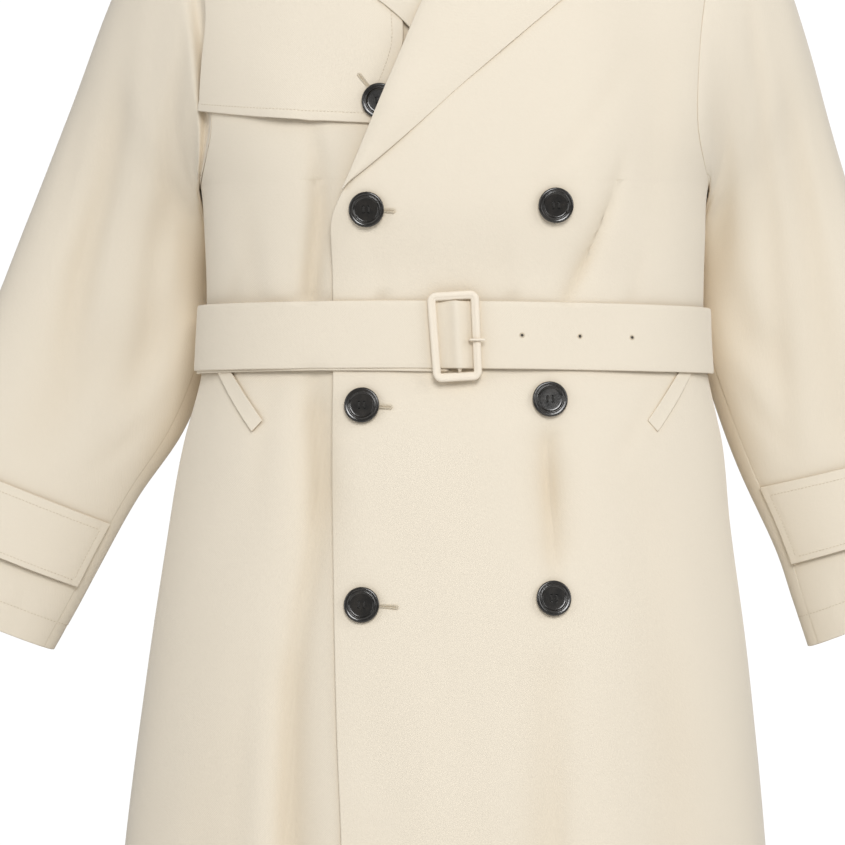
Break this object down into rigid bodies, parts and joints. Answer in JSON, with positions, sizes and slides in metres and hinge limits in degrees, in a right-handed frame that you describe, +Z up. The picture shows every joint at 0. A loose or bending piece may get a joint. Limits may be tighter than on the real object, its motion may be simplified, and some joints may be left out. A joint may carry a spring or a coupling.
{
  "type": "trench coat",
  "caption": "Double-breasted belted trench coat, hollow and filled out, with turned-back lapels, a storm flap on one shoulder, strapped cuffs and slanted welt pockets.",
  "frame": {"origin": "on the line of the shoulder seams, midway between their neck points, where the coat hangs on its wearer", "axes": "+Z up, -Y out of the coat's front, +X towards the wearer's left"},
  "size_m": [0.9705, 0.3572, 1.1569],
  "materials": {
    "cloth": "matte, tightly woven twill",
    "buckle_cover": "matte",
    "prong": "satin",
    "horn": "polished"
  },
  "bodies": {
    "root": {"front_left": "cloth", "front_right": "cloth", "back": "cloth", "lapel_left": "cloth", "lapel_right": "cloth", "collar_fall": "cloth", "collar_stand": "cloth", "storm_flap": "cloth", "sleeve_left_top": "cloth", "sleeve_left_under": "cloth", "cuff_strap_left": "cloth", "pocket_welt_left": "cloth", "sleeve_right_top": "cloth", "sleeve_right_under": "cloth", "cuff_strap_right": "cloth", "pocket_welt_right": "cloth", "belt": "cloth", "buckle": "buckle_cover", "buckle_prong": "prong", "button_right_1": "horn", "button_right_2": "horn", "button_right_3": "horn", "button_left_1": "horn", "button_left_2": "horn", "button_left_3": "horn", "button_flap": "horn"}
  },
  "joints": []
}
